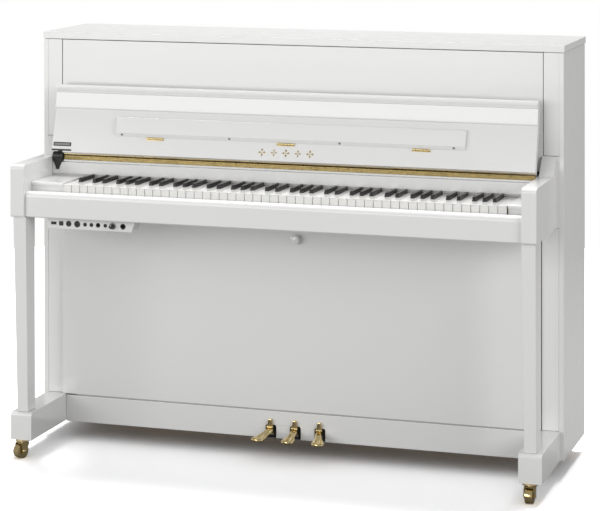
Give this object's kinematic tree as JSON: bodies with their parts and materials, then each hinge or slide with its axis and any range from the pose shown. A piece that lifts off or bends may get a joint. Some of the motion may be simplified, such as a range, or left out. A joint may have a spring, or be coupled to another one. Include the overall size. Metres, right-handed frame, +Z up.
{
  "type": "upright piano",
  "caption": "White polished upright piano with a folding fallboard, fold-out music shelf, separate keys, brass pedals, front casters and a small headphone box under the keybed.",
  "frame": {"origin": "middle of the footprint on the floor", "axes": "+Z up, +X along the keyboard to the treble end, -Y toward the player"},
  "size_m": [1.49, 0.57, 1.14],
  "materials": {
    "white_polish": "white polyester, high gloss",
    "raw_wood": "plain planed wood",
    "brass": "polished",
    "black_plastic": "satin black",
    "spruce": "clear varnish",
    "gold_iron": "gold paint",
    "string_steel": "drawn wire",
    "silver_alloy": "cast, satin",
    "dark_steel": "black paint",
    "hammer_felt": "dense wool felt",
    "hammer_rail_wood": "varnished",
    "mute_felt": "thin felt strip",
    "box_white": "fine satin",
    "clear_knob": "clear and white",
    "wheel_black": "black",
    "key_white": "ivory-toned resin on spruce",
    "key_black": "black satin resin"
  },
  "bodies": {
    "case": {"side_left": "white_polish", "side_right": "white_polish", "stiles": "white_polish", "arm_left": "white_polish", "arm_right": "white_polish", "leg_left": "white_polish", "leg_right": "white_polish", "toe_blocks": "white_polish", "upper_panel": "white_polish", "pedal_rail": "white_polish", "bottom_board": "raw_wood", "keybed": "white_polish", "key_slip": "white_polish", "key_blocks": "white_polish", "name_board": "white_polish", "fall_hinge_fixed": "brass", "damper_arm": "black_plastic", "lid_hinge": "brass", "back_frame": "raw_wood", "soundboard": "spruce", "iron_plate": "gold_iron", "strings": "string_steel", "action_frame": "silver_alloy", "wippens": "raw_wood", "key_frame": "raw_wood", "pedal_bracket": "dark_steel", "control_box": "box_white", "rear_caster_frames": "dark_steel"},
    "lid": {"top_lid": "white_polish"},
    "fallboard": {"fallboard": "white_polish", "fall_hinge_moving": "brass", "shelf_hinges": "brass"},
    "music_shelf": {"music_shelf": "white_polish"},
    "lower_panel": {"lower_panel": "white_polish", "panel_knob": "clear_knob"},
    "hammers": {"hammers": "hammer_felt", "hammer_rail": "hammer_rail_wood"},
    "dampers": {"dampers": "hammer_felt"},
    "mute_rail": {"mute_rail": "mute_felt"},
    "pedal_left": {"pedal_left": "brass"},
    "pedal_middle": {"pedal_middle": "brass"},
    "pedal_right": {"pedal_right": "brass"},
    "volume_knob": {"volume_knob": "black_plastic"},
    "caster_left": {"caster_fork_left": "brass"},
    "caster_right": {"caster_fork_right": "brass"},
    "wheel_left": {"caster_wheel_left": "brass"},
    "wheel_right": {"caster_wheel_right": "brass"},
    "rear_wheels": {"rear_wheels": "wheel_black"},
    "keys_c": {"keys_c": "key_white"},
    "keys_c_sharp": {"keys_c_sharp": "key_black"},
    "keys_d": {"keys_d": "key_white"},
    "keys_d_sharp": {"keys_d_sharp": "key_black"},
    "keys_e": {"keys_e": "key_white"},
    "keys_f": {"keys_f": "key_white"},
    "keys_f_sharp": {"keys_f_sharp": "key_black"},
    "keys_g": {"keys_g": "key_white"},
    "keys_g_sharp": {"keys_g_sharp": "key_black"},
    "keys_a": {"keys_a": "key_white"},
    "keys_a_sharp": {"keys_a_sharp": "key_black"},
    "keys_b": {"keys_b": "key_white"}
  },
  "joints": [
    {"name": "lid_open", "type": "hinge", "parent": "case", "child": "lid", "pos_m": [0, 0.283, 1.1189], "axis": [-1, 0, 0], "range_deg": [0, 100]},
    {"name": "fallboard_close", "type": "hinge", "parent": "case", "child": "fallboard", "pos_m": [0, -0.087, 0.801], "axis": [1, 0, 0], "range_deg": [0, 107]},
    {"name": "music_shelf_fold", "type": "hinge", "parent": "fallboard", "child": "music_shelf", "pos_m": [0, -0.09303, 0.85994], "axis": [-1, 0, 0], "range_deg": [-88, 0]},
    {"name": "lower_panel_tilt", "type": "hinge", "parent": "case", "child": "lower_panel", "pos_m": [0, -0.029, 0.1245], "axis": [1, 0, 0], "range_deg": [0, 10]},
    {"name": "press_c", "type": "hinge", "parent": "case", "child": "keys_c", "pos_m": [0, -0.0385, 0.723], "axis": [1, 0, 0], "range_deg": [0, 2.7], "stiffness_Nm_per_rad": 10, "springref_deg": -5.73},
    {"name": "press_c_sharp", "type": "hinge", "parent": "case", "child": "keys_c_sharp", "pos_m": [0, -0.0385, 0.723], "axis": [1, 0, 0], "range_deg": [0, 2.7], "stiffness_Nm_per_rad": 10, "springref_deg": -5.73},
    {"name": "press_d", "type": "hinge", "parent": "case", "child": "keys_d", "pos_m": [0, -0.0385, 0.723], "axis": [1, 0, 0], "range_deg": [0, 2.7], "stiffness_Nm_per_rad": 10, "springref_deg": -5.73},
    {"name": "press_d_sharp", "type": "hinge", "parent": "case", "child": "keys_d_sharp", "pos_m": [0, -0.0385, 0.723], "axis": [1, 0, 0], "range_deg": [0, 2.7], "stiffness_Nm_per_rad": 10, "springref_deg": -5.73},
    {"name": "press_e", "type": "hinge", "parent": "case", "child": "keys_e", "pos_m": [0, -0.0385, 0.723], "axis": [1, 0, 0], "range_deg": [0, 2.7], "stiffness_Nm_per_rad": 10, "springref_deg": -5.73},
    {"name": "press_f", "type": "hinge", "parent": "case", "child": "keys_f", "pos_m": [0, -0.0385, 0.723], "axis": [1, 0, 0], "range_deg": [0, 2.7], "stiffness_Nm_per_rad": 10, "springref_deg": -5.73},
    {"name": "press_f_sharp", "type": "hinge", "parent": "case", "child": "keys_f_sharp", "pos_m": [0, -0.0385, 0.723], "axis": [1, 0, 0], "range_deg": [0, 2.7], "stiffness_Nm_per_rad": 10, "springref_deg": -5.73},
    {"name": "press_g", "type": "hinge", "parent": "case", "child": "keys_g", "pos_m": [0, -0.0385, 0.723], "axis": [1, 0, 0], "range_deg": [0, 2.7], "stiffness_Nm_per_rad": 10, "springref_deg": -5.73},
    {"name": "press_g_sharp", "type": "hinge", "parent": "case", "child": "keys_g_sharp", "pos_m": [0, -0.0385, 0.723], "axis": [1, 0, 0], "range_deg": [0, 2.7], "stiffness_Nm_per_rad": 10, "springref_deg": -5.73},
    {"name": "press_a", "type": "hinge", "parent": "case", "child": "keys_a", "pos_m": [0, -0.0385, 0.723], "axis": [1, 0, 0], "range_deg": [0, 2.7], "stiffness_Nm_per_rad": 10, "springref_deg": -5.73},
    {"name": "press_a_sharp", "type": "hinge", "parent": "case", "child": "keys_a_sharp", "pos_m": [0, -0.0385, 0.723], "axis": [1, 0, 0], "range_deg": [0, 2.7], "stiffness_Nm_per_rad": 10, "springref_deg": -5.73},
    {"name": "press_b", "type": "hinge", "parent": "case", "child": "keys_b", "pos_m": [0, -0.0385, 0.723], "axis": [1, 0, 0], "range_deg": [0, 2.7], "stiffness_Nm_per_rad": 10, "springref_deg": -5.73},
    {"name": "pedal_left_press", "type": "hinge", "parent": "case", "child": "pedal_left", "pos_m": [-0.0665, 0.05, 0.066], "axis": [1, 0, 0], "range_deg": [0, 4.5], "stiffness_Nm_per_rad": 60, "springref_deg": -5.73},
    {"name": "pedal_middle_press", "type": "hinge", "parent": "case", "child": "pedal_middle", "pos_m": [0.0035, 0.05, 0.066], "axis": [1, 0, 0], "range_deg": [0, 4.5], "stiffness_Nm_per_rad": 60, "springref_deg": -5.73},
    {"name": "pedal_right_press", "type": "hinge", "parent": "case", "child": "pedal_right", "pos_m": [0.0735, 0.05, 0.066], "axis": [1, 0, 0], "range_deg": [0, 4.5], "stiffness_Nm_per_rad": 60, "springref_deg": -5.73},
    {"name": "hammers_half_blow", "type": "hinge", "parent": "case", "child": "hammers", "pos_m": [0, 0.0405, 0.884], "axis": [-1, 0, 0], "range_deg": [0, 9]},
    {"name": "dampers_lift", "type": "hinge", "parent": "case", "child": "dampers", "pos_m": [0, 0.088, 0.9], "axis": [1, 0, 0], "range_deg": [0, 3.6]},
    {"name": "mute_rail_drop", "type": "slide", "parent": "case", "child": "mute_rail", "axis": [0, 0, -1], "range_m": [0, 0.035]},
    {"name": "volume_turn", "type": "hinge", "parent": "case", "child": "volume_knob", "pos_m": [-0.442, -0.246, 0.641], "axis": [0, 1, 0], "range_deg": [0, 300]},
    {"name": "caster_left_swivel", "type": "hinge", "parent": "case", "child": "caster_left", "pos_m": [-0.702, -0.25, 0.045], "axis": [0, 0, 1], "continuous": true},
    {"name": "wheel_left_roll", "type": "hinge", "parent": "caster_left", "child": "wheel_left", "pos_m": [-0.7058, -0.25816, 0.019], "axis": [0.9063, -0.4226, 0], "continuous": true},
    {"name": "caster_right_swivel", "type": "hinge", "parent": "case", "child": "caster_right", "pos_m": [0.702, -0.25, 0.045], "axis": [0, 0, 1], "continuous": true},
    {"name": "wheel_right_roll", "type": "hinge", "parent": "caster_right", "child": "wheel_right", "pos_m": [0.702, -0.259, 0.019], "axis": [1, 0, 0], "continuous": true},
    {"name": "rear_wheels_roll", "type": "hinge", "parent": "case", "child": "rear_wheels", "pos_m": [0, 0.232, 0.021], "axis": [1, 0, 0], "continuous": true}
  ],
  "couplings": [
    {"joint": "hammers_half_blow", "follows": "pedal_left_press", "ratio": 2},
    {"joint": "mute_rail_drop", "follows": "pedal_middle_press", "m_per_rad": 0.44},
    {"joint": "dampers_lift", "follows": "pedal_right_press", "ratio": 0.8}
  ]
}
